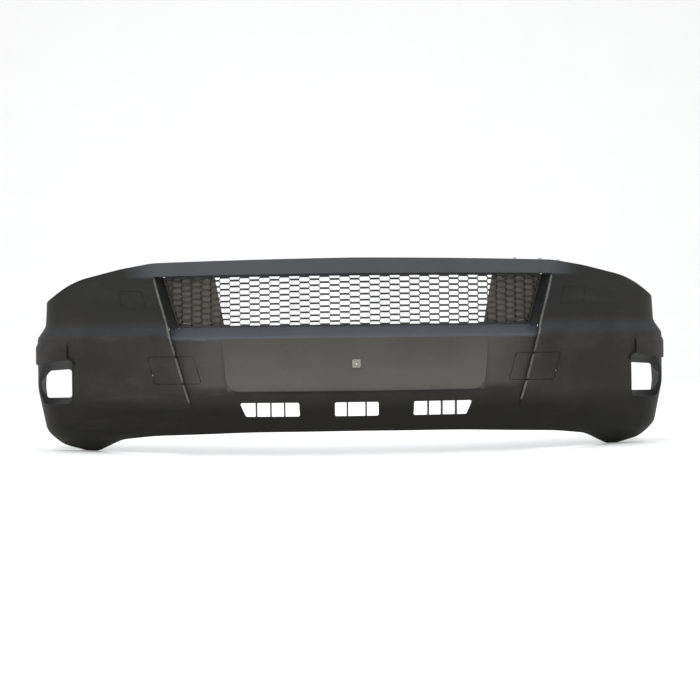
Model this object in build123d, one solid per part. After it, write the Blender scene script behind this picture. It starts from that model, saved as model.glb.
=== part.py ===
from build123d import *
import os
from math import asin, cos, degrees, radians, sin, sqrt

# Front bumper cover of a large panel van, as an assembly of its separate mouldings and fixings.
# Frame: millimetres, +X across the van, -Y forwards, +Z up, with the origin under the middle.
# The cover follows a plan line: a long front arc, two corner arcs and two straight sides.
# An "inset" is how far a surface stands in from that line.

os.makedirs("parts", exist_ok=True)

# ---- overall size -----------------------------------------------------------------------------
DEPTH = 600.0  # foremost point of the plan line to the rear edge of the sides
HALF_WIDTH = 990.0  # half the width of the plan line
FRONT_RADIUS = 2050.0  # plan radius of the front
CORNER_RADIUS = 150.0  # plan radius of each corner
WALL = 3.0  # moulded wall of the cover
BAND = 36.0  # how deep its flanges and ribs reach inwards from the outer surface
GAP = 0.1  # between parts that are fixed to each other
SHUT_GAP = 1.5  # all round a towing eye cover
WASHER_GAP = 0.8  # all round a washer cover
LIP_CLEAR = 0.4  # behind a moving cover, in front of the lip that it shuts against
LIP_RIDGE_CLEAR = 15.0  # outboard of the ridge, where a swinging cover's step passes
BLOCK = 1600.0  # more than the cover's reach, for cutting blocks

# ---- heights of the front ---------------------------------------------------------------------
TOP_Z = 571.0
OPENING_TOP_Z = 525.0
OPENING_BOTTOM_Z = 372.0  # back edge of the ledge under the grille
LEDGE_FRONT_Z = OPENING_BOTTOM_Z - 31.0
PAD_BOTTOM_Z = 185.0
MERGE_Z = 130.0  # below this the middle and the wings are one surface
BOTTOM_Z = 68.0  # lower edge in the middle; the wings reach down to 0

# ---- insets -----------------------------------------------------------------------------------
WING_INSET = 3.0
MIDDLE_INSET = 14.0
SHELF_INSET = 66.0  # back edge of the ledge under the grille
FLARE_INSET = -3.0
LOW_SLOPE = [(-10.0, 95.0, 0.0), (60.0, 28.0, 60.0)]
CREASE_Z = LEDGE_FRONT_Z + 4.0  # where the wings start to lean back to their upper half
UPPER = [(CREASE_Z + 38.0, 28.0, 30.0), (CREASE_Z + 125.0, 33.0, 300.0), (TOP_Z + 10.0, 57.0, 0.0)]
FLARE_TOP_Z = CREASE_Z - 27.0
FLARE_BOTTOM_Z = FLARE_TOP_Z - 52.0
FULL_Z = FLARE_BOTTOM_Z - 76.0  # where the wings reach their foremost inset
WING = LOW_SLOPE + [(FULL_Z, WING_INSET, 150.0), (CREASE_Z, WING_INSET, 25.0)] + UPPER
FLARE = (
    LOW_SLOPE
    + [(FULL_Z, WING_INSET, 150.0), (FLARE_BOTTOM_Z - 3, WING_INSET, 1.5)]
    + [(FLARE_BOTTOM_Z, FLARE_INSET, 1.5), (FLARE_TOP_Z, FLARE_INSET, 4.0)]
    + [(FLARE_TOP_Z + 14, WING_INSET, 4.0), (CREASE_Z, WING_INSET, 25.0)]
    + UPPER
)
FLARE_X = HALF_WIDTH - 124.0  # where the flare over each fog lamp starts
MERGE_INSET = 28.0 - (28.0 - WING_INSET) * (MERGE_Z - 60.0) / (FULL_Z - 60.0)
MIDDLE = LOW_SLOPE + [
    (MERGE_Z, MERGE_INSET, 0.4),
    (PAD_BOTTOM_Z, MIDDLE_INSET, 60.0),
    (LEDGE_FRONT_Z, MIDDLE_INSET, 14.0),
    (OPENING_BOTTOM_Z, SHELF_INSET, 0.0),
]

# ---- ridges and the walls that run back from them beside the grille -----------------------------
RIDGE_TOP_X = 596.0  # at OPENING_TOP_Z
RIDGE_LOW_X = 496.0  # at PAD_BOTTOM_Z
RETURN_IN = 26.0
GRILLE_INSET = 72.0  # front of the grille
GRILLE_THICK = 11.0

# ---- number plate pad ---------------------------------------------------------------------------
PAD_HALF = 389.0
PAD_RADIUS = 42.0
PAD_TAPER = 16.0  # how much narrower the pad is at the bottom, each side
NUT_Z = (PAD_BOTTOM_Z + LEDGE_FRONT_Z) / 2
NUT_SIZE = 25.0
NUT_HOLE = 15.0
NUT_BORE = 5.0
DIMPLE_X = 199.0
DIMPLE_Z = [PAD_BOTTOM_Z + 15.0, LEDGE_FRONT_Z - 41.0]

# ---- grille -------------------------------------------------------------------------------------
COLUMN_PITCH = 29.4
ROW_PITCH = 17.6
BAR = 5.4  # height of the level bars between the cells
WEB = 1.8  # thickness of the upright walls between the columns
CELL_POINT = 2.0  # how far each cell's side points stand out from its mean width
GRILLE_FRAME = 5.0
GRILLE_PLAY = 0.4  # between the grille's ends and the walls beside it
BLANK_TOP_X = 413.0  # inner edge of each blanking plate
BLANK_LOW_X = 385.0
SCREW_R = 2.0
SCREW_LONG = 13.0
BOSS_HALF = 6.0
TOP_SCREWS = [-545.0, -450.0, 450.0, 545.0]
LOW_SCREWS = [-505.0, -425.0, 425.0, 505.0]

# ---- lower openings -----------------------------------------------------------------------------
INTAKE_LOW_Z = 112.0
INTAKE_TOP_Z = 152.0
SIDE_INTAKE = (166.0, 338.0)  # nearest and furthest X along the top
SIDE_INTAKE_LOW = (164.0, 320.0)
MIDDLE_INTAKE = 63.0
SIDE_BARS = [208.0, 248.0, 290.0]
MIDDLE_BARS = [-27.0, 27.0]
BAR_THICK = 4.0

# ---- towing eye covers --------------------------------------------------------------------------
TOW_X = 530.0
TOW_Z = 248.0
TOW_WIDE = 136.0
TOW_HIGH = 78.0
LEAN = (RIDGE_TOP_X - RIDGE_LOW_X) / (OPENING_TOP_Z - PAD_BOTTOM_Z)
HINGE_X = 652.0
HINGE_INSET = WING_INSET + 9.5
PIN_R = 2.5
KNUCKLE_R = 5.0
RUNNING = 0.05
ARM_HALF = 15.0

# ---- headlamp washer covers -----------------------------------------------------------------------
WASHER_X = 661.0
WASHER_Z = 458.0
WASHER_WIDE = 72.0
WASHER_HIGH = 50.0
STEM_R = 6.0
SLEEVE_LONG = 58.0

# ---- fog lamp pockets ---------------------------------------------------------------------------
# Outlines as distance in from HALF_WIDTH and height; places as distance ahead of the corner's axis.
FOG_HOLE = [(114, 250), (50, 246), (20, 214), (24, 184), (42, 162), (114, 162)]
FOG_HOLE_ROUNDING = [9, 9, 12, 9, 9, 9]
FOG_HOLE_AHEAD = 46.0
FOG_FRONT = [(158, 300), (30, 300), (-16, 262), (-18, 126), (18, 92), (156, 142)]
FOG_FRONT_ROUNDING = [24, 20, 26, 22, 20, 24]
FOG_FRONT_AHEAD = 226.0

# ---- edges seen from the front ------------------------------------------------------------------
# Each point is X, height and the rounding there.
SIDE_TOP_Z = TOP_Z - 118.0
TOP_EDGE = [(600, TOP_Z - 5, 250), (700, TOP_Z - 20, 500), (HALF_WIDTH - 140, TOP_Z - 52, 250),
            (HALF_WIDTH - 65, TOP_Z - 99, 60), (HALF_WIDTH - 28, SIDE_TOP_Z, 40)]
LOW_EDGE = [(300, BOTTOM_Z - 2, 3000), (600, BOTTOM_Z - 15, 800), (HALF_WIDTH - 290, 40, 120),
            (HALF_WIDTH - 205, 0, 50), (HALF_WIDTH - 162, 0, 50), (HALF_WIDTH - 85, 19, 120),
            (HALF_WIDTH - 35, 55, 60)]
ARCH_RADIUS = 400.0  # wheel arch that cuts the rear edge of each side
ARCH_Z = 110.0
LEVEL_Y = 60.0  # behind this the top of each side is level

# ---- fixings ------------------------------------------------------------------------------------
CLIP_X = [484.0, 565.0, 624.0]
FLANGE_HOLE_R = 4.25
TOP_HOLES = [-565.0, -484.0, -250.0, 0.0, 250.0, 484.0, 565.0]
TOP_HOLE_INSET = 80.0
SCREW_INSET = 89.0
LIP_HOLE_R = 3.5
LIP_HOLES = [-400.0, -140.0, 140.0, 400.0]
SIDE_HOLE_AHEAD = 90.0  # ahead of the rear edge
SIDE_HOLE_IN = 52.0  # in from HALF_WIDTH

# ---- plan geometry --------------------------------------------------------------------------------
FRONT_Y = -DEPTH / 2
REAR_Y = DEPTH / 2
AXIS_Y = FRONT_Y + FRONT_RADIUS
CORNER_X = HALF_WIDTH - CORNER_RADIUS
TURN = degrees(asin(CORNER_X / (FRONT_RADIUS - CORNER_RADIUS)))
CORNER_Y = AXIS_Y - (FRONT_RADIUS - CORNER_RADIUS) * cos(radians(TURN))
UP = Vector(0, 0, 1)


def ridge_x(z):
    """Half width between the ridges at a height."""
    return RIDGE_LOW_X + LEAN * (z - PAD_BOTTOM_Z)


def front_y(x, inset):
    """Y of the front surface at a given X and inset."""
    return AXIS_Y - sqrt((FRONT_RADIUS - inset) ** 2 - x**2)


def section(profile, near, far, base):
    """Closed section between a profile moved in by near and by far; x is base minus the inset."""

    def side(shift):
        points = [(base - d - shift, z) for z, d, _ in profile]
        radii = [r for _, _, r in profile[1:-1]]
        if len(points) == 2:
            return Line(*points)
        return FilletPolyline(*points, radius=radii)

    outer, inner = side(near), side(far)
    ends = [Line(outer @ 0, inner @ 0), Line(outer @ 1, inner @ 1)]
    return make_face(outer.edges() + inner.edges() + [e.edge() for e in ends])


def front_band(profile, near, far):
    """The layer between two insets behind a profile, along the front arc."""
    out = Vector(-sin(radians(TURN)), -cos(radians(TURN)), 0)
    plane = Plane(origin=(0, AXIS_Y, 0), x_dir=out, z_dir=out.cross(UP))
    return revolve(plane * section(profile, near, far, FRONT_RADIUS), Axis((0, AXIS_Y, 0), UP), 2 * TURN)


def end_band(profile, near, far):
    """The same layer round the right-hand corner and along the right-hand side."""
    out = Vector(sin(radians(TURN)), -cos(radians(TURN)), 0)
    plane = Plane(origin=(CORNER_X, CORNER_Y, 0), x_dir=out, z_dir=out.cross(UP))
    turn = Axis((CORNER_X, CORNER_Y, 0), UP)
    corner = revolve(plane * section(profile, near, far, CORNER_RADIUS), turn, 90 - TURN)
    back = Plane(origin=(0, REAR_Y, 0), x_dir=(1, 0, 0), z_dir=(0, -1, 0))
    return corner + extrude(back * section(profile, near, far, HALF_WIDTH), REAR_Y - CORNER_Y)


def both(shape):
    """A right-hand shape together with its mirror image."""
    return shape + mirror(shape, Plane.YZ)


def prism(sketch, y0=-BLOCK, y1=BLOCK):
    """A sketch drawn in X and Z, carried along Y."""
    return extrude(Plane.XZ.offset(-y1) * sketch, y1 - y0)


def outline(points, radius=0):
    """A closed outline in X and Z; radius is one rounding for all its corners, or one for each."""
    face = make_face(Polyline(*points, close=True))
    radii = radius if isinstance(radius, list) else [radius] * len(points)
    for (x, z), r in zip(points, radii):
        if r:
            corner = face.vertices().sort_by_distance((x, z, 0))[0]
            face = fillet(corner, r)
    return face


def block(x0, x1, y0, y1, z0, z1):
    """A box between two corners."""
    return Pos((x0 + x1) / 2, (y0 + y1) / 2, (z0 + z1) / 2) * Box(x1 - x0, y1 - y0, z1 - z0)


def edge_face(middle_z, points, drop, above):
    """Everything above, or below, an edge seen from the front and moved down by drop."""
    corners = [(0, middle_z - drop)] + [(x, z - drop) for x, z, _ in points]
    last = corners[-1][1]
    curve = FilletPolyline(*corners, (BLOCK, last), radius=[r for _, _, r in points])
    far = BLOCK if above else -BLOCK
    rest = Polyline((BLOCK, last), (BLOCK, far), (0, far), corners[0])
    half = make_face(curve.edges() + rest.edges())
    return half + mirror(half, Plane.YZ)


def washer_outline(grow):
    """Leaning four-sided outline of the right-hand washer cover."""
    h, w = WASHER_HIGH / 2, WASHER_WIDE / 2
    s = LEAN * h
    points = [(-w - s, -h), (w - s, -h), (w + s, h), (-w + s, h)]
    face = outline([(WASHER_X + x, WASHER_Z + z) for x, z in points], 5)
    return offset(face, grow) if grow else face


def tow_outline(grow):
    """Leaning four-sided outline of the right-hand towing eye cover."""
    h, w = TOW_HIGH / 2, TOW_WIDE / 2
    s = LEAN * h
    points = [(-w - s, -h), (w - s, -h), (w + s, h), (-w + s, h)]
    face = outline([(TOW_X + x, TOW_Z + z) for x, z in points], 6)
    return offset(face, grow) if grow else face


def pad_outline(grow):
    """Outline of the raised pad for the number plate."""
    w, low, top = PAD_HALF + grow, PAD_BOTTOM_Z - grow, LEDGE_FRONT_Z + 0.01
    r = PAD_RADIUS + grow
    return outline([(PAD_TAPER - w, low), (w - PAD_TAPER, low), (w, top), (-w, top)], [r, r, 0, 0])


def intakes(grow):
    """Outlines of the three lower openings."""
    (a, b), (c, d) = SIDE_INTAKE, SIDE_INTAKE_LOW
    right = outline([(c, INTAKE_LOW_Z), (d, INTAKE_LOW_Z), (b, INTAKE_TOP_Z), (a, INTAKE_TOP_Z)], 5)
    left = mirror(right, Plane.YZ)
    m = MIDDLE_INTAKE
    middle = outline([(-m, INTAKE_LOW_Z), (m, INTAKE_LOW_Z), (m, INTAKE_TOP_Z), (-m, INTAKE_TOP_Z)], 5)
    faces = [left, middle, right]
    return [offset(f, grow) for f in faces] if grow else faces


def fog_outline(points, rounding):
    """Outline on the right-hand side from points given in from HALF_WIDTH."""
    return outline([(HALF_WIDTH - inwards, z) for inwards, z in points], rounding)


def fog_pocket(grow):
    """Tapered pocket with the lamp hole at its back, grown all round."""
    front, back = fog_outline(FOG_FRONT, FOG_FRONT_ROUNDING), fog_outline(FOG_HOLE, FOG_HOLE_ROUNDING)
    if grow:
        front, back = offset(front, grow), offset(back, grow)
    near = Plane.XZ.offset(FOG_FRONT_AHEAD - CORNER_Y) * front
    far = Plane.XZ.offset(FOG_HOLE_AHEAD - CORNER_Y) * back
    return loft([near, far], ruled=True)


def body(near, far, wall):
    """The cover as a thick layer between two insets; wall narrows every region for the inside."""
    flare = both(prism(outline([(FLARE_X + wall, -50), (BLOCK, -50), (BLOCK, 700), (FLARE_X + wall, 700)])))
    ridge = [(ridge_x(-50) + wall, -50), (BLOCK, -50), (BLOCK, 700), (ridge_x(700) + wall, 700)]
    wings = both(prism(outline(ridge)))
    inside = [(ridge_x(-50), -50), (ridge_x(700), 700), (-ridge_x(700), 700), (-ridge_x(-50), -50)]
    core = prism(outline(inside))
    low = block(-BLOCK, BLOCK, -BLOCK, BLOCK, -50, OPENING_BOTTOM_Z - wall)
    high = block(-BLOCK, BLOCK, -BLOCK, BLOCK, OPENING_TOP_Z + wall, 700)
    wing_front = front_band(WING, near, far)
    ends = both(end_band(FLARE, near, far))
    flare_front = front_band(FLARE, near, far) & flare
    middle = (front_band(MIDDLE, near, far) & core) & low
    pad_profile = [(PAD_BOTTOM_Z - 20, 0.0, 0.0), (PAD_BOTTOM_Z + 2, 0.0, 0.0),
                   (LEDGE_FRONT_Z - 4, MIDDLE_INSET, 0.0)]
    pad_profile = [pad_profile[0], pad_profile[1][:2] + (8.0,), pad_profile[2]]
    pad = front_band(pad_profile, near, far) & prism(pad_outline(-wall))
    return (wing_front & wings) + flare_front + ends + middle + (wing_front & core & high) + pad


def grille_returns():
    """Walls that run inwards and back from the ridges to the ends of the grille."""
    faces = []
    for z in (OPENING_BOTTOM_Z - WALL / 2, OPENING_TOP_Z + WALL / 2):
        inset = 28.0 + (z - 383.0) * 0.09 + 1.0
        x = ridge_x(z)
        front = Vector(x, front_y(x, inset), z)
        back = Vector(x - RETURN_IN, front_y(x - RETURN_IN, GRILLE_INSET + 4), z)
        side = Vector(WALL, 0, 0)
        faces.append(make_face(Polyline(front, back, back + side, front + side, close=True)))
    return both(loft(faces, ruled=True))


def fog_walls():
    """Walls of both fog lamp pockets, trimmed to the outside of the cover."""
    wall = fog_pocket(WALL) - fog_pocket(0)
    outside = end_band(FLARE, -300, 0.5) + front_band(FLARE, -300, 0.5)
    return both(wall - outside)


def side_trim():
    """What the wheel arches cut from the rear edges of the sides."""
    arch = Cylinder(ARCH_RADIUS, 3 * HALF_WIDTH, rotation=(0, 90, 0))
    back = REAR_Y + sqrt(ARCH_RADIUS**2 - (SIDE_TOP_Z - ARCH_Z) ** 2)
    return Pos(0, back, ARCH_Z) * arch


def above_sides(down):
    """What is cut away above the level tops of both sides."""
    return both(block(CORNER_X, BLOCK, LEVEL_Y - down, BLOCK, SIDE_TOP_Z - down, BLOCK))


def cover_body():
    """The whole one-piece moulding before its small openings are cut."""
    outer = body(0, BAND, 0)
    inner = body(WALL, BAND + 5, WALL)
    outer = outer - prism(edge_face(TOP_Z, TOP_EDGE, 0, True)) - prism(edge_face(BOTTOM_Z, LOW_EDGE, 0, False))
    lip = block(-520, 520, -BLOCK, BLOCK, -50, 700) & prism(edge_face(BOTTOM_Z, LOW_EDGE, -WALL, False))
    inner = inner - prism(edge_face(TOP_Z, TOP_EDGE, WALL, True)) - lip
    outer = outer - above_sides(0)
    inner = inner - above_sides(WALL)
    shell = outer - inner
    pockets = both(fog_pocket(0))
    shell = shell - pockets + fog_walls() + grille_returns()
    lamp_hole = prism(fog_outline(FOG_HOLE, FOG_HOLE_ROUNDING), CORNER_Y - FOG_HOLE_AHEAD - 50)
    return shell - side_trim() - both(lamp_hole)


def bore(x, z, r, y0=FRONT_Y - 20, y1=-100.0):
    """A round cutter along Y."""
    return Pos(x, (y0 + y1) / 2, z) * Cylinder(r, y1 - y0, rotation=(90, 0, 0))


def upright(x, y, z0, z1, r):
    """A round bar or cutter along Z."""
    return Pos(x, y, (z0 + z1) / 2) * Cylinder(r, z1 - z0)


def top_edge_at(x):
    """Height and slope in degrees of the top edge on its first two straight lengths."""
    (x1, z1, _), (x2, z2, _) = TOP_EDGE[:2]
    if abs(x) < x1:
        rise = (z1 - TOP_Z) / x1
        return TOP_Z + rise * abs(x), degrees(rise)
    rise = (z2 - z1) / (x2 - x1)
    return z1 + rise * (abs(x) - x1), degrees(rise)


def lip_edge_at(x):
    """Height of the lower edge on its first straight length from the middle."""
    x1, z1, _ = LOW_EDGE[0]
    x2, z2, _ = LOW_EDGE[1]
    if abs(x) < x1:
        return BOTTOM_Z + (z1 - BOTTOM_Z) * abs(x) / x1
    return z1 + (z2 - z1) * (abs(x) - x1) / (x2 - x1)


def grille_screw_place(x, top):
    """Axis point of a grille screw: X, Y and the height of the face its head rests on."""
    return x, front_y(x, SCREW_INSET), OPENING_TOP_Z + WALL if top else OPENING_BOTTOM_Z - WALL


def flange_tabs():
    """Tabs behind the top of the opening that carry the upper grille screws."""
    tabs = []
    for x in TOP_SCREWS:
        _, y, z = grille_screw_place(x, True)
        tabs.append(block(x - 12, x + 12, y - 16, y + 9, z - WALL, z))
    return tabs


def hole_cutters():
    """Every round or square fixing hole of the cover."""
    cuts = [upright(x, front_y(x, TOP_HOLE_INSET), TOP_Z - 40, TOP_Z + 20, FLANGE_HOLE_R) for x in TOP_HOLES]
    cuts.append(upright(CLIP_X[2], front_y(CLIP_X[2], TOP_HOLE_INSET), TOP_Z - 40, TOP_Z + 20, FLANGE_HOLE_R))
    for top, places in ((True, TOP_SCREWS), (False, LOW_SCREWS)):
        for x, y, z in (grille_screw_place(x, top) for x in places):
            cuts.append(upright(x, y, z - 6, z + 6, SCREW_R + 0.3))
    for x in LIP_HOLES:
        z = lip_edge_at(x)
        cuts.append(upright(x, front_y(x, 48), z - 12, z + 12, LIP_HOLE_R))
    for side in (-1, 1):
        place = side * (HALF_WIDTH - SIDE_HOLE_IN), REAR_Y - SIDE_HOLE_AHEAD
        cuts.append(upright(*place, SIDE_TOP_Z - 20, SIDE_TOP_Z + 20, LIP_HOLE_R))
    half = NUT_HOLE / 2 + GAP
    cuts.append(block(-half, half, FRONT_Y - 20, FRONT_Y + 40, NUT_Z - half, NUT_Z + half))
    for x, z in ((side * DIMPLE_X, z) for side in (-1, 1) for z in DIMPLE_Z):
        cuts.append(Pos(x, front_y(x, pad_inset(z) - 0.6), z) * Sphere(2.0))
    return cuts


def pad_inset(z):
    """Inset of the raised pad at a height."""
    low, top = PAD_BOTTOM_Z + 2, LEDGE_FRONT_Z - 4
    return MIDDLE_INSET * (z - low) / (top - low)


def openings():
    """Cutters for the lower openings and for the parts that move."""
    cuts = [prism(face, FRONT_Y - 20, FRONT_Y + 200) for face in intakes(0)]
    for face in (washer_outline(WASHER_GAP), tow_outline(SHUT_GAP)):
        cutter = prism(face, FRONT_Y - 20, FRONT_Y + 280)
        cuts += [cutter, mirror(cutter, Plane.YZ)]
    return cuts


def shut_lip():
    """Lip round the inside of a towing eye cover's opening, with a notch for the hinge arm."""
    edge, back = SHUT_GAP + 0.5, WALL + 2.4
    outside = prism(tow_outline(edge + 4.5), FRONT_Y, 0) - prism(tow_outline(SHUT_GAP), FRONT_Y, 0)
    inside = prism(tow_outline(edge), FRONT_Y, 0) - prism(tow_outline(-3), FRONT_Y, 0)
    lip = []
    for profile, in_wing in ((WING, True), (MIDDLE, False)):
        side = ridge_side(WALL if in_wing else 0, in_wing)
        lip.append(front_band(profile, WALL - 0.5, back) & outside & side)
        side = ridge_side(LIP_RIDGE_CLEAR if in_wing else -LIP_CLEAR, in_wing)
        lip.append(front_band(profile, WALL + LIP_CLEAR, back) & inside & side)
    half = ARM_HALF + 1.0
    return Part() + lip - block(TOW_X, TOW_X + TOW_WIDE, FRONT_Y, 0, TOW_Z - half, TOW_Z + half)


def ridge_side(shift, outboard):
    """Everything outboard, or inboard, of the right-hand ridge moved out by shift."""
    far = BLOCK if outboard else 0
    points = [(ridge_x(-50) + shift, -50), (far, -50), (far, 700), (ridge_x(700) + shift, 700)]
    return prism(outline(points))


def bumper_skin(cover):
    """The large moulding with all its openings and fixing holes."""
    skin = (cover + flange_tabs()) - openings() - hole_cutters()
    return skin + both(shut_lip())


def hex_cell(x, z):
    """One flat hexagonal cell of the grille."""
    high, low = ROW_PITCH / 2, (ROW_PITCH - BAR) / 2
    wide = COLUMN_PITCH / 2 + CELL_POINT - WEB / 2
    near = wide - 2 * CELL_POINT * low / high
    points = [(wide, 0), (near, low), (-near, low), (-wide, 0), (-near, -low), (near, -low)]
    return make_face(Polyline(*[(x + px, z + pz) for px, pz in points], close=True))


def grille_outline(shrink):
    """Outline of the grille's frame, leaning at both ends like the ridges."""
    low, top = OPENING_BOTTOM_Z + GAP + shrink, OPENING_TOP_Z - GAP - shrink
    out = lambda z: ridge_x(z) - RETURN_IN - GRILLE_PLAY - shrink * sqrt(1 + LEAN**2)
    corners = [(out(low), low), (out(top), top), (-out(top), top), (-out(low), low)]
    return outline(corners, 8 - shrink)


def grille_band(near, far):
    """The curved layer between two insets that the grille and its plates are cut from."""
    return front_band([(OPENING_BOTTOM_Z - 20, 0, 0), (OPENING_TOP_Z + 20, 0, 0)], near, far)


def grille_mesh():
    """Honeycomb grille with its frame and the bosses for its screws."""
    frame = grille_outline(0)
    inner = grille_outline(GRILLE_FRAME)
    cells = []
    middle = (OPENING_BOTTOM_Z + OPENING_TOP_Z) / 2
    columns = int(RIDGE_TOP_X / COLUMN_PITCH)
    rows = int((OPENING_TOP_Z - OPENING_BOTTOM_Z) / ROW_PITCH / 2) + 1
    box = inner.bounding_box()
    for i in range(-columns, columns + 1):
        for j in range(-rows, rows + 1):
            x, z = i * COLUMN_PITCH, middle + (j + 0.5 * (i % 2)) * ROW_PITCH
            cell = hex_cell(x, z)
            clear_x = abs(x) + COLUMN_PITCH < ridge_x(box.min.Y) - RETURN_IN - GRILLE_FRAME
            clear_z = box.min.Y + ROW_PITCH / 2 < z < box.max.Y - ROW_PITCH / 2
            if not (clear_x and clear_z):
                cell = cell & inner
            faces = cell.faces() if cell else []
            cells += [f for f in faces if f.area > 45]
    plate = Face(frame.face().outer_wire(), [c.outer_wire() for c in cells])
    mesh = grille_band(GRILLE_INSET, GRILLE_INSET + GRILLE_THICK) & prism(plate, FRONT_Y, 0)
    for top, places in ((True, TOP_SCREWS), (False, LOW_SCREWS)):
        for x in places:
            _, y, z = grille_screw_place(x, top)
            face = z - WALL - GAP if top else z + WALL + GAP
            end = face - SCREW_LONG if top else face + SCREW_LONG
            boss = block(x - BOSS_HALF, x + BOSS_HALF, y - 12, y + 5, min(face, end), max(face, end))
            boss = boss - grille_band(GRILLE_INSET - 30, GRILLE_INSET + 1)
            mesh = mesh + boss - upright(x, y, min(face, end) - 1, max(face, end) + 1, SCREW_R + 0.02)
    return mesh


def grille_blank():
    """Plate that closes the right-hand end of the grille from behind."""
    low, top = OPENING_BOTTOM_Z + 3, OPENING_TOP_Z - 3
    out = lambda z: ridge_x(z) - RETURN_IN - 3
    shape = outline([(BLANK_LOW_X, low), (out(low), low), (out(top), top), (BLANK_TOP_X, top)], 4)
    near = GRILLE_INSET + GRILLE_THICK + GAP
    plate = grille_band(near, near + 2.5) & prism(shape, FRONT_Y, 0)
    half, deep = BOSS_HALF + 0.5, SCREW_LONG + 0.5
    for x in TOP_SCREWS:
        plate = plate - block(x - half, x + half, FRONT_Y, 0, OPENING_TOP_Z - deep, OPENING_TOP_Z)
    for x in LOW_SCREWS:
        plate = plate - block(x - half, x + half, FRONT_Y, 0, OPENING_BOTTOM_Z, OPENING_BOTTOM_Z + deep)
    return plate


def grille_screw(x, top):
    """Self-tapping screw through a flange into a boss of the grille."""
    _, y, z = grille_screw_place(x, top)
    way = 1 if top else -1
    head = upright(x, y, min(z, z + way * 2.4), max(z, z + way * 2.4), 4.5)
    shank = upright(x, y, min(z, z - way * SCREW_LONG), max(z, z - way * SCREW_LONG), SCREW_R)
    slot = block(x - 3, x + 3, y - 0.6, y + 0.6, min(z + way, z + way * 3), max(z + way, z + way * 3))
    return head + shank - slot


def hinge_plane():
    """Plane across a towing eye cover's hinge: X inboard along the surface, Y inwards."""
    lean = asin(HINGE_X / FRONT_RADIUS)
    across = Vector(-cos(lean), -sin(lean), 0)
    inward = Vector(-sin(lean), cos(lean), 0)
    origin = (HINGE_X, front_y(HINGE_X, HINGE_INSET), 0)
    return Plane(origin=origin, x_dir=across, z_dir=across.cross(inward))


def hinge_bar(sketch, z0, z1):
    """A sketch across the hinge carried between two heights."""
    plane = hinge_plane()
    solid = extrude(plane * sketch, (z1 - z0) * plane.z_dir.Z)
    return Pos(0, 0, z0) * solid


def tow_cover(cover):
    """Right-hand towing eye cover: a piece of the skin on a swan-neck hinge arm."""
    panel = cover & prism(tow_outline(0), FRONT_Y - 20, -20)
    reach = (HINGE_X - TOW_X - TOW_WIDE / 2) / cos(asin(HINGE_X / FRONT_RADIUS))
    path = [(0, 0), (20, reach + 2), (reach, reach - 4), (reach + 14, 8), (reach + 14, -6.2)]
    arm = trace(Polyline(*path), 4.0)
    neck = hinge_bar(arm + Circle(KNUCKLE_R), TOW_Z - ARM_HALF, TOW_Z + ARM_HALF)
    neck = neck - front_band(WING, -60, 1) - hinge_bar(Circle(PIN_R + RUNNING), 0, 600)
    return panel + neck


def tow_bracket():
    """Right-hand bracket that carries the hinge pin behind the skin."""
    low, top = TOW_Z - ARM_HALF - 12, TOW_Z + ARM_HALF + 12
    base = front_band(WING, WALL + GAP, WALL + GAP + 3) & block(
        HINGE_X + 7, HINGE_X + 42, -BLOCK, 0, low, top)
    eyes = hinge_bar(Circle(KNUCKLE_R) + Pos(-14, 0) * Rectangle(28, 8), low, top)
    eyes = eyes - block(0, BLOCK, -BLOCK, BLOCK, low + 11.4, top - 11.4)
    web = hinge_bar(Pos(-24, 0) * Rectangle(6, 9), low, top)
    return base + eyes + web - hinge_bar(Circle(PIN_R + 0.01), 0, 600)


def tow_pin():
    """Right-hand hinge pin."""
    return hinge_bar(Circle(PIN_R), TOW_Z - ARM_HALF - 13, TOW_Z + ARM_HALF + 13)


def washer_y():
    """Y of the inside of the skin behind the washer cover's middle."""
    return front_y(WASHER_X, 32.4 + WALL)


def washer_cover(cover):
    """Right-hand washer cover with the stem that carries it forwards."""
    cap = cover & prism(washer_outline(0), FRONT_Y - 20, 0)
    y = washer_y()
    stem = bore(WASHER_X, WASHER_Z, STEM_R, y - 4, y + 92)
    collar = bore(WASHER_X, WASHER_Z, STEM_R + 3, y + 12, y + 15)
    stem = stem - front_band(WING, -60, 1)
    jet = bore(WASHER_X, WASHER_Z, 1.2, y + 70, y + 93)
    return cap + stem + collar - jet


def washer_sleeve():
    """Right-hand guide sleeve with the frame that holds it behind the skin."""
    y = washer_y()
    back = WALL + GAP + 2.5
    outside = prism(washer_outline(14), FRONT_Y, 0) - prism(washer_outline(3), FRONT_Y, 0)
    inside = prism(washer_outline(3.5), FRONT_Y, 0) - prism(washer_outline(-4), FRONT_Y, 0)
    ring = front_band(WING, WALL + GAP, back) & outside
    ring = ring + (front_band(WING, WALL + LIP_CLEAR, back) & inside)
    tube = bore(WASHER_X, WASHER_Z, STEM_R + 3, y + 15, y + 15 + SLEEVE_LONG)
    arms = []
    for side in (-1, 1):
        z0, z1 = sorted((WASHER_Z + side * (STEM_R + 1), WASHER_Z + side * 37))
        arms.append(block(WASHER_X - 5, WASHER_X + 5, y + 15, y + 21, z0, z1))
        z0, z1 = sorted((WASHER_Z + side * 31, WASHER_Z + side * 37))
        post = block(WASHER_X - 5, WASHER_X + 5, y - 5, y + 20, z0, z1)
        arms.append(post - front_band(WING, -60, WALL + GAP))
    return ring + tube + arms - bore(WASHER_X, WASHER_Z, STEM_R + RUNNING, y, y + 90)


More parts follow.
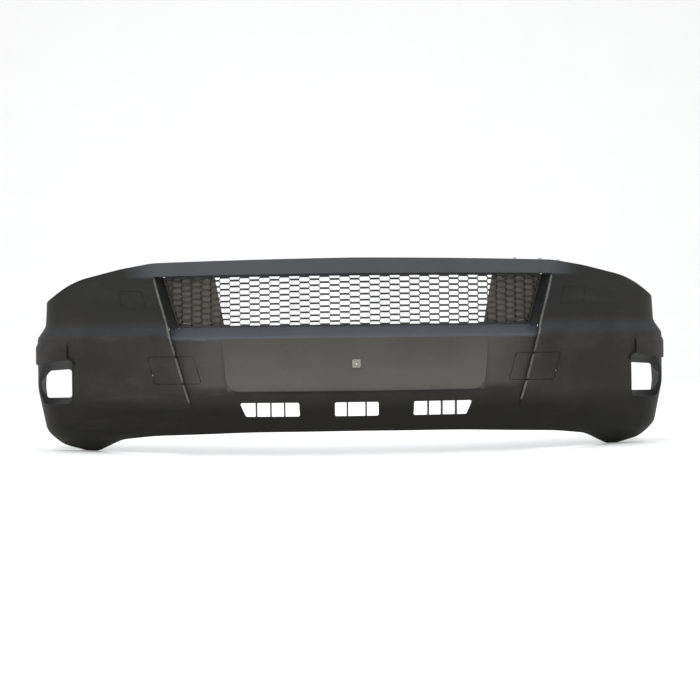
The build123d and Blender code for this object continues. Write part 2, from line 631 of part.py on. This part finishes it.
def lower_grille(face, bars):
    """Insert with upright bars that closes one lower opening."""
    frame = prism(offset(face, 10), FRONT_Y, 0) - prism(face, FRONT_Y, 0)
    part = front_band(MIDDLE, WALL + GAP, WALL + GAP + 2.5) & frame
    half = BAR_THICK / 2
    for x in bars:
        bar = outline([(x - half, INTAKE_LOW_Z + 0.3), (x + half, INTAKE_LOW_Z + 0.3),
                       (x + half, INTAKE_TOP_Z - 0.3), (x - half, INTAKE_TOP_Z - 0.3)])
        part = part + (front_band(MIDDLE, 2, 26) & prism(bar, FRONT_Y, 0))
        tall = outline([(x - half, INTAKE_LOW_Z - 8), (x + half, INTAKE_LOW_Z - 8),
                        (x + half, INTAKE_TOP_Z + 8), (x - half, INTAKE_TOP_Z + 8)])
        part = part + (front_band(MIDDLE, WALL + GAP, 26) & prism(tall, FRONT_Y, 0))
    return part


def plate_nut():
    """Square nylon nut that takes the number plate's screw."""
    tilt = degrees(MIDDLE_INSET / (LEDGE_FRONT_Z - PAD_BOTTOM_Z - 6))
    flange = Box(NUT_SIZE, NUT_SIZE, 3.5)
    flange = fillet(flange.edges().filter_by(Axis.Z), 4)
    flange = Pos(0, 0, 1.75 + GAP) * fillet(flange.faces().sort_by(Axis.Z)[-1].edges(), 1.2)
    shank = Pos(0, 0, -5.5) * Box(NUT_HOLE - 0.9, NUT_HOLE - 0.9, 12)
    barbs = Pos(0, 0, -5) * Box(NUT_HOLE + 1.6, 5, 2)
    nut = flange + shank + barbs - Cylinder(NUT_BORE / 2, 40) - Pos(0, 0, 3.6) * Cone(2.5, 4.5, 2)
    plane = Plane(origin=(0, FRONT_Y + pad_inset(NUT_Z), NUT_Z), x_dir=(1, 0, 0),
                  z_dir=(0, -cos(radians(tilt)), sin(radians(tilt))))
    return plane * nut


def top_clip(x):
    """Sheet steel clip nut pushed over the rear edge of the top flange."""
    z, slope = top_edge_at(x)
    rear = front_y(x, 54.8 + BAND) - front_y(x, TOP_HOLE_INSET)
    t = 1.2
    upper = block(-9, 9, -9, rear + 4, 0.1, 0.1 + t)
    lower = block(-9, 9, -9, rear + 4, -WALL - 0.1 - t, -WALL - 0.1)
    back = block(-9, 9, rear + 4 - t, rear + 4, -WALL - 0.1 - t, 0.1 + t)
    collar = upright(0, 0, 0.1, 6.0, 5.4)
    clip = upper + lower + back + collar - upright(0, 0, -20, 20, 3.0)
    return Pos(x, front_y(x, TOP_HOLE_INSET), z) * Rot(0, -slope, 0) * clip


def write(name, shape):
    """Write one node, as a single solid."""
    solids = shape.solids()
    if len(solids) != 1:
        print(name, "has", len(solids), "solids:", [round(s.volume) for s in solids])
    export_step(shape, f"parts/{name}.step")


def write_pair(name, shape):
    """Write a right-hand node and its mirror image."""
    write(name + "_right", shape)
    write(name + "_left", mirror(shape, Plane.YZ))


cover = cover_body()
write("bumper_skin", bumper_skin(cover))
write("grille_mesh", grille_mesh())
write_pair("grille_blank", grille_blank())
for i, x in enumerate(TOP_SCREWS, 1):
    write(f"grille_screw_top_{i}", grille_screw(x, True))
for i, x in enumerate(LOW_SCREWS, 1):
    write(f"grille_screw_low_{i}", grille_screw(x, False))
write_pair("tow_cover", tow_cover(cover))
write_pair("tow_bracket", tow_bracket())
write_pair("tow_pin", tow_pin())
write_pair("washer_cover", washer_cover(cover))
write_pair("washer_sleeve", washer_sleeve())
left_face, middle_face, right_face = intakes(0)
write("lower_grille_left", lower_grille(left_face, [-x for x in SIDE_BARS]))
write("lower_grille_centre", lower_grille(middle_face, MIDDLE_BARS))
write("lower_grille_right", lower_grille(right_face, SIDE_BARS))
write("plate_nut", plate_nut())
for i, x in enumerate(CLIP_X, 1):
    write(f"top_clip_{i}", top_clip(x))
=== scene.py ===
"""Looks of a large van's front bumper cover: finishes, moulded details, floor, light and camera."""
import logging
from dataclasses import dataclass
from enum import Enum
from math import pi, radians

import bpy
import numpy as np
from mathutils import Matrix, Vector


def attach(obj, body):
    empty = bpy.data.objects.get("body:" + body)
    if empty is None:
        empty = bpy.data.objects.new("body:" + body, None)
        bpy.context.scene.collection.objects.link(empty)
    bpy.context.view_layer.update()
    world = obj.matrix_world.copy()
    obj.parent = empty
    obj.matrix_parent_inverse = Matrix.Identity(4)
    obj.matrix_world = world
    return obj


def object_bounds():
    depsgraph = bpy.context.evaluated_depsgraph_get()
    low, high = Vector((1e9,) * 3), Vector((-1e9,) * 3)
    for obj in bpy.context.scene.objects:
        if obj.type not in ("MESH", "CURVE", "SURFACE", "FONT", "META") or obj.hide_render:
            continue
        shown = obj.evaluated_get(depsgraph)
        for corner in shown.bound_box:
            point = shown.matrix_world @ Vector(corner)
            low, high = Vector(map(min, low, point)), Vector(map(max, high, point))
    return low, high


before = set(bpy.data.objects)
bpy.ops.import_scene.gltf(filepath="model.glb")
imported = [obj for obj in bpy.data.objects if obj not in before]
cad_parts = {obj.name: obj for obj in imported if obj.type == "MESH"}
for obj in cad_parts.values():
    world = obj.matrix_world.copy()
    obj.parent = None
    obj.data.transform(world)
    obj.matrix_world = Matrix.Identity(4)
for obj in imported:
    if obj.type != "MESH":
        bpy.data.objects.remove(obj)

log = logging.getLogger("bumper_cover")
logging.basicConfig(level=logging.INFO, format="%(message)s")

CAD_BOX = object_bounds()
Colour = tuple[float, float, float]


# ---- shader toolkit ---------------------------------------------------------------------------
class Value:
    """A number on a material's node tree that takes part in Python arithmetic."""

    def __init__(self, recipe: "Recipe", socket: object) -> None:
        """Wrap a socket of a recipe's tree."""
        self.recipe = recipe
        self.socket = socket

    def _math(self, operation: str, *operands: object) -> "Value":
        """Add a Math node.

        Args:
            operation: the Math node's operation.
            operands: values or plain numbers, in order.

        Returns:
            The node's result.
        """
        inputs = {i: operand for i, operand in enumerate(operands)}
        node = self.recipe.node("ShaderNodeMath", {"operation": operation}, inputs)
        return Value(self.recipe, node.outputs[0])

    def __add__(self, other: object) -> "Value":
        """Sum."""
        return self._math("ADD", self, other)

    __radd__ = __add__

    def __sub__(self, other: object) -> "Value":
        """Difference."""
        return self._math("SUBTRACT", self, other)

    def __rsub__(self, other: object) -> "Value":
        """Difference the other way round."""
        return self._math("SUBTRACT", other, self)

    def __mul__(self, other: object) -> "Value":
        """Product."""
        return self._math("MULTIPLY", self, other)

    __rmul__ = __mul__

    def __truediv__(self, other: object) -> "Value":
        """Quotient."""
        return self._math("DIVIDE", self, other)

    def __pow__(self, other: object) -> "Value":
        """Power."""
        return self._math("POWER", self, other)

    def __abs__(self) -> "Value":
        """Size without its sign."""
        return self._math("ABSOLUTE", self)

    def ramp(self, low: float, high: float) -> "Value":
        """Smooth step.

        Args:
            low: value at which the result is 0.
            high: value at which the result is 1.

        Returns:
            A value between 0 and 1 with soft ends.
        """
        settings = {"interpolation_type": "SMOOTHSTEP", "clamp": True}
        if low <= high:
            inputs = {"Value": self, "From Min": low, "From Max": high, "To Min": 0.0, "To Max": 1.0}
        else:
            inputs = {"Value": self, "From Min": high, "From Max": low, "To Min": 1.0, "To Max": 0.0}
        node = self.recipe.node("ShaderNodeMapRange", settings, inputs)
        return Value(self.recipe, node.outputs[0])

    def band(self, low: float, high: float, soft: float) -> "Value":
        """Mask that is 1 between two values and falls away softly outside them.

        Args:
            low: lower end of the band.
            high: upper end of the band.
            soft: width over which each end fades.

        Returns:
            A value between 0 and 1.
        """
        return self.ramp(low - soft, low + soft) * self.ramp(high + soft, high - soft)


class Recipe:
    """One material under construction, with its nodes laid out by calls."""

    def __init__(self, name: str) -> None:
        """Start an empty material of this name."""
        self.material = bpy.data.materials.new(name)
        self.material.use_nodes = True
        self.tree = self.material.node_tree
        self.tree.nodes.clear()
        self.shader = self.node("ShaderNodeBsdfPrincipled", {}, {})
        self.node("ShaderNodeOutputMaterial", {}, {"Surface": self.shader.outputs[0]})
        self.coords = self.node("ShaderNodeTexCoord", {}, {})

    def node(self, kind: str, settings: dict, inputs: dict) -> bpy.types.Node:
        """Add a node.

        Args:
            kind: the node's type name.
            settings: attributes that are set before its sockets; "stops" fills a colour ramp.
            inputs: socket name or index to a plain value, a socket or a Value.

        Returns:
            The new node.
        """
        made = self.tree.nodes.new(kind)
        for name, value in settings.items():
            if name == "stops":
                self._stops(made.color_ramp, value)
            else:
                setattr(made, name, value)
        for name, value in inputs.items():
            self.feed(made.inputs[name], value)
        return made

    def feed(self, socket: bpy.types.NodeSocket, value: object) -> None:
        """Give a socket a constant or a link."""
        if isinstance(value, Value):
            value = value.socket
        if isinstance(value, bpy.types.NodeSocket):
            self.tree.links.new(value, socket)
        elif isinstance(value, tuple) and len(value) == 3 and socket.type == "RGBA":
            socket.default_value = (*value, 1.0)
        else:
            socket.default_value = value

    @staticmethod
    def _stops(ramp: bpy.types.ColorRamp, stops: list) -> None:
        """Fill a colour ramp with (place, grey) stops."""
        while len(ramp.elements) < len(stops):
            ramp.elements.new(1.0)
        for element, (place, grey) in zip(ramp.elements, stops):
            element.position = place
            element.color = (grey, grey, grey, 1.0)

    def axes(self) -> tuple[Value, Value, Value]:
        """Object coordinates as three values, in metres."""
        split = self.node("ShaderNodeSeparateXYZ", {}, {0: self.coords.outputs["Object"]})
        return tuple(Value(self, split.outputs[i]) for i in range(3))

    def facing(self) -> tuple[Value, Value, Value]:
        """The surface's own outward direction as three values."""
        split = self.node("ShaderNodeSeparateXYZ", {}, {0: self.coords.outputs["Normal"]})
        return tuple(Value(self, split.outputs[i]) for i in range(3))

    def stretched(self, scale: tuple[float, float, float]) -> bpy.types.NodeSocket:
        """Object coordinates scaled along each axis."""
        node = self.node("ShaderNodeMapping", {}, {"Vector": self.coords.outputs["Object"], "Scale": scale})
        return node.outputs[0]

    def noise(self, scale: float, detail: float = 3.0, rough: float = 0.55,
              stretch: tuple[float, float, float] = (1.0, 1.0, 1.0), warp: float = 0.0) -> Value:
        """Cloudy pattern.

        Args:
            scale: cells per metre.
            detail: octaves.
            rough: weight of each finer octave.
            stretch: scale of the coordinates along each axis.
            warp: distortion of the pattern.

        Returns:
            A value that stays mostly between 0.3 and 0.7.
        """
        inputs = {"Vector": self.stretched(stretch), "Scale": scale, "Detail": detail,
                  "Roughness": rough, "Distortion": warp}
        return Value(self, self.node("ShaderNodeTexNoise", {}, inputs).outputs[0])

    def cells(self, scale: float, feature: str = "F1", smooth: float = 0.6) -> Value:
        """Distance to scattered points, which reads as a pebbled grain."""
        inputs = {"Vector": self.coords.outputs["Object"], "Scale": scale}
        if feature == "SMOOTH_F1":
            inputs["Smoothness"] = smooth
        return Value(self, self.node("ShaderNodeTexVoronoi", {"feature": feature}, inputs).outputs[0])

    def blend(self, low: object, high: object, factor: object) -> bpy.types.NodeSocket:
        """Colour between two colours by a factor."""
        node = self.node("ShaderNodeMix", {"data_type": "RGBA", "clamp_factor": True}, {})
        self.feed(node.inputs[0], factor)
        self.feed(node.inputs[6], low)
        self.feed(node.inputs[7], high)
        return node.outputs[2]

    def bump(self, height: Value, distance: float, strength: float = 1.0) -> bpy.types.NodeSocket:
        """Normal bent by a height; distance is the height's full depth in metres."""
        inputs = {"Height": height, "Distance": distance, "Strength": strength}
        return self.node("ShaderNodeBump", {}, inputs).outputs[0]

    def finish(self, colour: object, roughness: object, normal: object = None,
               **constants: float) -> bpy.types.Material:
        """Feed the shader and hand over the material.

        Args:
            colour: base colour.
            roughness: roughness.
            normal: bent normal, if any.
            constants: other sockets that stay the same all over, with _ for a space.

        Returns:
            The finished material.
        """
        self.feed(self.shader.inputs["Base Color"], colour)
        self.feed(self.shader.inputs["Roughness"], roughness)
        if normal is not None:
            self.feed(self.shader.inputs["Normal"], normal)
        for name, value in constants.items():
            self.feed(self.shader.inputs[name.replace("_", " ")], value)
        return self.material


# ---- finishes -----------------------------------------------------------------------------------
@dataclass(frozen=True)
class CoverPlastic:
    """Unpainted charcoal polypropylene with a pebbled grain and dust; darker over the upper part, with
    painted sky reflection on upward faces, the top band and the ledge, painted light on the centre, and
    painted shade low down and in the corner pockets.
    """

    name: str = "cover plastic"
    base: Colour = (0.017, 0.0160, 0.0150)
    worn: Colour = (0.037, 0.0345, 0.0315)
    # painted shade for the lower part that turns under
    low: Colour = (0.0055, 0.0050, 0.0030)
    # painted light for the centre between the ridges
    lit_centre: Colour = (0.066, 0.0625, 0.0570)
    ledge_sky_reflection: Colour = (0.062, 0.071, 0.084)
    upper: Colour = (0.0115, 0.0113, 0.0108)
    sky_reflection: Colour = (0.014, 0.017, 0.023)
    # painted sky reflection for the top band
    band: Colour = (0.058, 0.064, 0.068)
    pad: Colour = (0.092, 0.088, 0.079)
    dust: Colour = (0.16, 0.155, 0.145)
    # dark colour for painted shade in the corner pockets and for real dark specks
    speck_and_recess_shade: Colour = (0.006, 0.006, 0.006)
    pad_half: float = 0.373
    pad_flare: float = 0.103
    grain_per_metre: float = 620.0
    grain_depth: float = 0.00022

    def make(self) -> bpy.types.Material:
        """Build the material.

        Returns:
            The material for the large moulding and the covers cut from it.
        """
        r = Recipe(self.name)
        x, y, z = r.axes()
        nx, ny, nz = r.facing()
        clouds = r.noise(5.0, 4.0, 0.6)
        smears = r.noise(3.2, 5.0, 0.62, (1.0, 1.0, 4.5), 0.6)
        speck = r.noise(260.0, 2.0, 0.5)
        scuff = r.noise(38.0, 5.0, 0.7, (1.0, 1.0, 3.0), 1.2)
        colour = r.blend(self.base, self.worn, clouds.ramp(0.34, 0.72) * 0.8)
        colour = r.blend(colour, self.upper, z.ramp(0.36, 0.42) * 0.75)
        # painted shade: darker low down where the surface turns under towards the floor, made uneven by the
        # clouds
        colour = r.blend(colour, self.low, z.ramp(0.195, 0.120) * (0.75 + 0.5 * clouds))
        # painted shade in the corner pockets round the fog lamp holes
        recess_shade_mask = abs(x).band(0.845, 0.980, 0.008) * z.band(0.135, 0.270, 0.008)
        # painted sky reflection: upward-facing surfaces turn bluish
        colour = r.blend(colour, self.sky_reflection, nz.ramp(0.12, 0.75) * (0.35 + 0.5 * smears))
        middle = abs(x)
        # painted light: the centre between the ridges, below the grille, is lightened as if lit
        inner = middle.ramp(0.60, 0.38)
        colour = r.blend(colour, self.lit_centre, inner * z.band(0.196, 0.400, 0.012) * (0.55 + 0.5 * clouds))
        # painted sky reflection on the upward-facing ledge below the grille
        ledge_reflection_mask = middle.ramp(0.56, 0.50) * z.band(0.330, 0.380, 0.008) * nz.ramp(0.10, 0.5)
        colour = r.blend(colour, self.ledge_sky_reflection, ledge_reflection_mask * 0.7)
        # painted sky reflection on the top band above the grille
        top_band_reflection = z.ramp(0.518, 0.528) * middle.ramp(0.70, 0.58)
        colour = r.blend(colour, self.band, top_band_reflection * (0.7 + 0.4 * clouds))
        pad_edge = middle - self.pad_flare * (z - 0.185)
        pad_mask = pad_edge.ramp(self.pad_half + 0.004, self.pad_half - 0.004)
        pad_mask = pad_mask * z.ramp(0.182, 0.190) * z.ramp(0.350, 0.200)
        colour = r.blend(colour, self.pad, pad_mask * (0.35 + 0.6 * clouds))
        dust = smears.ramp(0.52, 0.78) * 0.22
        colour = r.blend(colour, self.dust, dust * 0.35)
        # painted shade in the corner pockets; the same dark colour makes the real specks below
        colour = r.blend(colour, self.speck_and_recess_shade, recess_shade_mask * 0.75)
        colour = r.blend(colour, self.dust, scuff.ramp(0.66, 0.80) * 0.10)
        colour = r.blend(colour, self.speck_and_recess_shade, speck.ramp(0.62, 0.8) * 0.35)
        pebble = r.cells(self.grain_per_metre, "SMOOTH_F1")
        fine = r.noise(self.grain_per_metre * 2.2, 2.0)
        height = pebble * 0.75 + fine * 0.35
        rough = 0.52 + 0.12 * clouds + 0.1 * dust - 0.10 * scuff.ramp(0.66, 0.80)
        return r.finish(colour, rough, r.bump(height, self.grain_depth), Specular_IOR_Level=0.18)


@dataclass(frozen=True)
class SmoothPlastic:
    """Fine-grained or smooth moulded plastic with faint flow marks and dust."""

    name: str
    base: Colour
    light: Colour
    roughness: float = 0.5
    grain_per_metre: float = 1500.0
    grain_depth: float = 0.00006

    def make(self) -> bpy.types.Material:
        """Build the material."""
        r = Recipe(self.name)
        _, _, nz = r.facing()
        flow = r.noise(14.0, 4.0, 0.6, (1.0, 1.0, 2.6), 0.8)
        patch = r.noise(60.0, 3.0)
        colour = r.blend(self.base, self.light, flow.ramp(0.38, 0.7) * 0.8)
        colour = r.blend(colour, (0.15, 0.145, 0.135), nz.ramp(0.3, 0.9) * patch * 0.35)
        height = r.noise(self.grain_per_metre, 2.0)
        return r.finish(colour, self.roughness + 0.14 * patch, r.bump(height, self.grain_depth))


@dataclass(frozen=True)
class ZincSteel:
    """Zinc-plated sheet or wire with a dull spangle and small stains."""

    name: str
    base: Colour
    stain: Colour
    roughness: float = 0.42

    def make(self) -> bpy.types.Material:
        """Build the material."""
        r = Recipe(self.name)
        spangle = r.cells(900.0)
        stains = r.noise(240.0, 4.0, 0.65)
        colour = r.blend(self.base, self.stain, stains.ramp(0.5, 0.72) * 0.7)
        rough = self.roughness + 0.18 * spangle + 0.2 * stains.ramp(0.5, 0.72)
        metal = 1.0 - 0.35 * stains.ramp(0.55, 0.75)
        r.feed(r.shader.inputs["Metallic"], metal)
        return r.finish(colour, rough, r.bump(stains, 0.00004))


@dataclass(frozen=True)
class FloorPaper:
    """Plain pale paper under the part."""

    name: str = "floor paper"
    tone: Colour = (0.90, 0.90, 0.90)
    patch: Colour = (0.93, 0.93, 0.93)

    def make(self) -> bpy.types.Material:
        """Build the material."""
        r = Recipe(self.name)
        fibre = r.noise(3.0, 3.0)
        colour = r.blend(self.tone, self.patch, fibre)
        return r.finish(colour, 0.9, None, Specular_IOR_Level=0.1)


COVER = CoverPlastic()
# bead plastic lighter than the cover: a painted highlight of the rounded ridge edge
RIDGE_HIGHLIGHT = SmoothPlastic("worn ridge plastic", (0.050, 0.050, 0.048), (0.120, 0.117, 0.110), 0.42,
                           620.0, 0.00015)
FOAM = SmoothPlastic("seal foam", (0.010, 0.010, 0.010), (0.020, 0.020, 0.020), 0.9, 900.0, 0.0003)
GRILLE = SmoothPlastic("grille plastic", (0.012, 0.012, 0.012), (0.024, 0.023, 0.021), 0.5)
BLANK = SmoothPlastic("blanking plate plastic", (0.150, 0.138, 0.116), (0.200, 0.184, 0.154), 0.65)
BRACKET = SmoothPlastic("bracket plastic", (0.018, 0.018, 0.018), (0.035, 0.034, 0.033), 0.4)
NYLON = SmoothPlastic("natural nylon", (0.19, 0.19, 0.165), (0.26, 0.25, 0.22), 0.5)
SCREW = ZincSteel("screw steel", (0.42, 0.42, 0.43), (0.20, 0.17, 0.13))
CLIP = ZincSteel("clip steel", (0.62, 0.61, 0.57), (0.36, 0.31, 0.22))


class Dresser:
    """Gives every node of the design its finish."""

    def __init__(self) -> None:
        """Start with no materials made."""
        self.made: dict[str, bpy.types.Material] = {}

    def material(self, finish: object) -> bpy.types.Material:
        """Material of a finish, made once."""
        if finish.name not in self.made:
            self.made[finish.name] = finish.make()
        return self.made[finish.name]

    def dress(self, names: list[str], finish: object) -> None:
        """Put a finish on nodes of the design.

        Args:
            names: the nodes' names.
            finish: a finish with a make method.
        """
        for name in names:
            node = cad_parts[name]
            node.data.materials.clear()
            node.data.materials.append(self.material(finish))
            log.info("dressed %s in %s", name, finish.name)


# ---- setting ------------------------------------------------------------------------------------
@dataclass
class Studio:
    """Pale floor, soft light and the camera."""

    distance: float = 3.06
    height: float = 0.336
    aside: float = -0.119
    lens: float = 55.07
    pan: float = -1.89
    tilt: float = -0.63
    roll: float = 0.684
    floor_half: float = 9.0

    def floor(self, dresser: Dresser) -> None:
        """Lay a pale floor that curves up into a wall behind the part."""
        u = np.linspace(-1, 1, 3)
        s = np.linspace(0, 1, 40)
        run, bend = 4.2, 1.6
        along = -self.floor_half + s * (self.floor_half + run + bend)
        over = np.clip((along - run) / bend, 0, 1)
        y = np.where(along < run, along, run + bend * np.sin(over * pi / 2))
        z = np.where(along < run, 0, bend * (1 - np.cos(over * pi / 2)))
        y = np.append(y, y[-1])
        z = np.append(z, 9.0)
        gx, gy = np.meshgrid(u * self.floor_half, y)
        _, gz = np.meshgrid(u, z)
        piece = grid_mesh("floor", np.stack([gx, gy, gz], -1), closed_u=False)
        piece.data.materials.append(dresser.material(FloorPaper()))

    def lamp(self, name: str, place: tuple[float, float, float], aim: tuple[float, float, float],
             size: tuple[float, float], watts: float, colour: Colour = (1.0, 1.0, 1.0)) -> None:
        """Hang a soft rectangular lamp.

        Args:
            name: the lamp's name.
            place: where it hangs, in metres.
            aim: the point it faces.
            size: width and height in metres.
            watts: its power.
            colour: its colour.
        """
        data = bpy.data.lights.new(name, "AREA")
        data.shape = "RECTANGLE"
        data.size, data.size_y = size
        data.energy = watts
        data.color = colour
        lamp = bpy.data.objects.new(name, data)
        bpy.context.scene.collection.objects.link(lamp)
        lamp.location = place
        way = Vector(aim) - Vector(place)
        lamp.rotation_euler = way.to_track_quat("-Z", "Y").to_euler()

    def lights(self) -> None:
        """Hang the lamps and set an even pale sky."""
        self.lamp("sky panel", (0.0, -0.5, 3.6), (0.0, 0.0, 0.3), (5.0, 3.4), 120.0, (0.95, 0.98, 1.0))
        self.lamp("front panel", (-1.6, -4.2, 2.4), (0.0, 0.0, 0.3), (3.4, 2.2), 28.0, (1.0, 0.98, 0.95))
        world = bpy.data.worlds.new("pale sky")
        world.use_nodes = True
        world.node_tree.nodes["Background"].inputs[0].default_value = (1.0, 1.0, 1.0, 1.0)
        world.node_tree.nodes["Background"].inputs[1].default_value = 0.95
        bpy.context.scene.world = world
        bpy.context.scene.view_settings.view_transform = "Standard"

    def camera(self) -> None:
        """Set the camera in front of the part, level with its middle."""
        data = bpy.data.cameras.new("camera")
        data.lens = self.lens
        data.sensor_width = 36.0
        camera = bpy.data.objects.new("camera", data)
        bpy.context.scene.collection.objects.link(camera)
        low, _ = CAD_BOX
        camera.location = (self.aside, low.y - self.distance, self.height)
        camera.rotation_mode = "XYZ"
        camera.rotation_euler = (pi / 2 + radians(self.tilt), radians(self.roll), radians(self.pan))
        bpy.context.scene.camera = camera

    def build(self, dresser: Dresser) -> None:
        """Make the whole setting."""
        self.floor(dresser)
        self.lights()
        self.camera()


def grid_mesh(name: str, points: np.ndarray, closed_u: bool = False, closed_v: bool = False,
              smooth: bool = True, capped: bool = False) -> bpy.types.Object:
    """Make a surface from a grid of points.

    Args:
        name: the piece's name.
        points: array of rows by columns by 3, in metres.
        closed_u: joins the last column to the first.
        closed_v: joins the last row to the first.
        smooth: shades it smoothly.
        capped: closes the first and last rows, each with one face.

    Returns:
        The new object, at the origin.
    """
    rows, columns = points.shape[:2]
    index = np.arange(rows * columns).reshape(rows, columns)
    if closed_u:
        index = np.concatenate([index, index[:, :1]], 1)
    if closed_v:
        index = np.concatenate([index, index[:1]], 0)
    quads = np.stack([index[:-1, :-1], index[:-1, 1:], index[1:, 1:], index[1:, :-1]], -1).reshape(-1, 4)
    faces = quads.tolist()
    if capped:
        faces += [index[0, :columns][::-1].tolist(), index[-1, :columns].tolist()]
    mesh = bpy.data.meshes.new(name)
    mesh.from_pydata(points.reshape(-1, 3).tolist(), [], faces)
    mesh.polygons.foreach_set("use_smooth", np.full(len(mesh.polygons), smooth))
    mesh.update()
    piece = bpy.data.objects.new(name, mesh)
    bpy.context.scene.collection.objects.link(piece)
    return piece


class Side(Enum):
    """Which half of the part a detail is on, seen from the front."""

    RIGHT = 1
    LEFT = -1


@dataclass(frozen=True)
class FrontPlan:
    """Shape of the wings' front surface, in metres.

    In plan it is an arc of a large circle; from the side it is a profile of insets behind that arc.
    """

    radius: float = 2.05
    heights: tuple[float, ...] = (0.060, 0.190, 0.345, 0.383, 0.470, 0.581)
    insets: tuple[float, ...] = (0.028, 0.003, 0.003, 0.028, 0.033, 0.057)
    ridge_low_x: float = 0.496
    ridge_low_z: float = 0.185
    ridge_lean: float = 100.0 / 340.0

    def inset(self, z: np.ndarray) -> np.ndarray:
        """Inset at each height: straight lines between the profile's corners."""
        return np.interp(z, self.heights, self.insets)

    def ridge_x(self, z: np.ndarray) -> np.ndarray:
        """Half width between the ridges: a straight line that leans outwards as it rises."""
        return self.ridge_low_x + self.ridge_lean * (z - self.ridge_low_z)

    def front_y(self, x: np.ndarray, inset: np.ndarray) -> np.ndarray:
        """Y of the surface: the arc's axis less the reach of the circle at x."""
        low, _ = CAD_BOX
        return low.y + self.radius - np.sqrt((self.radius - inset) ** 2 - x**2)


@dataclass
class RidgeBeads:
    """Rounded bead along each ridge, broken where the towing eye cover crosses it."""

    plan: FrontPlan
    thick: float = 0.0036
    sunk: float = 0.0014
    low_z: float = 0.150
    top_z: float = 0.524
    break_low: float = 0.209
    break_top: float = 0.287
    gap: float = 0.0022
    around: int = 14

    def bead(self, name: str, side: Side, z0: float, z1: float) -> bpy.types.Object:
        """One bead between two heights.

        A circle is carried along the ridge's line and shrinks to a point at each end, so its ends
        are rounded: the radius is the full one times the square root of how far in the end lies.

        Args:
            name: the piece's name.
            side: which ridge.
            z0: height of its lower end.
            z1: height of its upper end.

        Returns:
            The closed bead.
        """
        rows = max(12, int((z1 - z0) / 0.004))
        t = (1 - np.cos(np.linspace(0, pi, rows))) / 2
        z = z0 + t * (z1 - z0)
        x = self.plan.ridge_x(z)
        y = self.plan.front_y(x, self.plan.inset(z)) + self.sunk
        end = np.minimum(z - z0, z1 - z) / (2 * self.thick)
        size = self.thick * np.sqrt(np.clip(end, 1e-4, 1.0))
        turn = np.linspace(0, 2 * pi, self.around, endpoint=False)
        ring_x = x[:, None] + size[:, None] * np.cos(turn)
        ring_y = y[:, None] + size[:, None] * np.sin(turn)
        ring_z = np.repeat(z[:, None], self.around, 1)
        points = np.stack([side.value * ring_x, ring_y, ring_z], -1)
        if side is Side.LEFT:
            points = points[:, ::-1]
        return grid_mesh(name, points, closed_u=True, capped=True)

    def build(self, dresser: "Dresser") -> None:
        """Make the beads of both ridges and fix each to the body that it stands on."""
        spans = {
            "low": (self.low_z, self.break_low - self.gap, False),
            "cover": (self.break_low + self.gap, self.break_top - self.gap, True),
            "top": (self.break_top + self.gap, self.top_z, False),
        }
        for side in Side:
            hand = side.name.lower()
            for part, (z0, z1, moves) in spans.items():
                piece = self.bead(f"ridge_bead_{part}_{hand}", side, z0, z1)
                piece.data.materials.append(dresser.material(RIDGE_HIGHLIGHT))
                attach(piece, f"tow_cover_{hand}_body" if moves else "cover")
                log.info("made %s", piece.name)


@dataclass(frozen=True)
class SealSpot:
    """Where a foam pad sits: out from the ridge's line, its height, and how deep behind the front."""

    name: str
    shift: float
    z: float
    inset: float
    half_high: float


@dataclass
class FoamSeals:
    """Small foam pads stuck behind the skin and the grille where daylight would show through."""

    plan: FrontPlan
    spots: tuple[SealSpot, ...] = (
        SealSpot("cover_low", 0.005, 0.2084, 0.0222, 0.0080),
        SealSpot("cover_top", 0.005, 0.2876, 0.0222, 0.0080),
        SealSpot("grille_low", -0.031, 0.3790, 0.0890, 0.0065),
        SealSpot("grille_top", -0.031, 0.5180, 0.0890, 0.0065),
    )
    half_wide: float = 0.013
    half_deep: float = 0.0027
    squareness: float = 0.35
    rows: int = 21
    columns: int = 40

    def pad(self, name: str, side: Side, spot: SealSpot) -> bpy.types.Object:
        """One pad.

        A superellipsoid: sines and cosines of latitude and longitude, raised to a small power, give
        flat faces with soft edges. Its rows stop just short of the poles, which are closed.

        Args:
            name: the piece's name.
            side: which ridge.
            spot: where it sits.

        Returns:
            The closed pad.
        """
        def power(value: np.ndarray) -> np.ndarray:
            """Power that keeps the sign."""
            return np.sign(value) * np.abs(value) ** self.squareness

        up = np.linspace(-0.49 * pi, 0.49 * pi, self.rows)[:, None]
        turn = np.linspace(0, 2 * pi, self.columns, endpoint=False)[None, :]
        x = self.half_wide * power(np.cos(up)) * power(np.cos(turn)) + self.plan.ridge_x(spot.z) + spot.shift
        y = self.half_deep * power(np.cos(up)) * power(np.sin(turn)) + self.plan.front_y(x, spot.inset)
        high = spot.z + spot.half_high * power(np.sin(up)) + 0 * turn
        points = np.stack([side.value * x, y, high], -1)
        if side is Side.LEFT:
            points = points[:, ::-1]
        return grid_mesh(name, points, closed_u=True, capped=True)

    def build(self, dresser: "Dresser") -> None:
        """Make the pads of both sides."""
        for side in Side:
            for spot in self.spots:
                piece = self.pad(f"foam_seal_{spot.name}_{side.name.lower()}", side, spot)
                piece.data.materials.append(dresser.material(FOAM))
                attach(piece, "cover")
                log.info("made %s", piece.name)


def main() -> None:
    """Dress the design, add the details, and set the light and the camera."""
    dresser = Dresser()
    nodes = list(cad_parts)
    dresser.dress([n for n in nodes if n == "bumper_skin" or "_cover_" in n], COVER)
    dresser.dress([n for n in nodes if n == "grille_mesh" or n.startswith("lower_grille")], GRILLE)
    dresser.dress([n for n in nodes if n.startswith("grille_blank")], BLANK)
    dresser.dress([n for n in nodes if "bracket" in n or "sleeve" in n], BRACKET)
    dresser.dress(["plate_nut"], NYLON)
    dresser.dress([n for n in nodes if "screw" in n or "pin" in n], SCREW)
    dresser.dress([n for n in nodes if n.startswith("top_clip")], CLIP)
    RidgeBeads(FrontPlan()).build(dresser)
    FoamSeals(FrontPlan()).build(dresser)
    Studio().build(dresser)


if __name__ == "__main__":
    main()
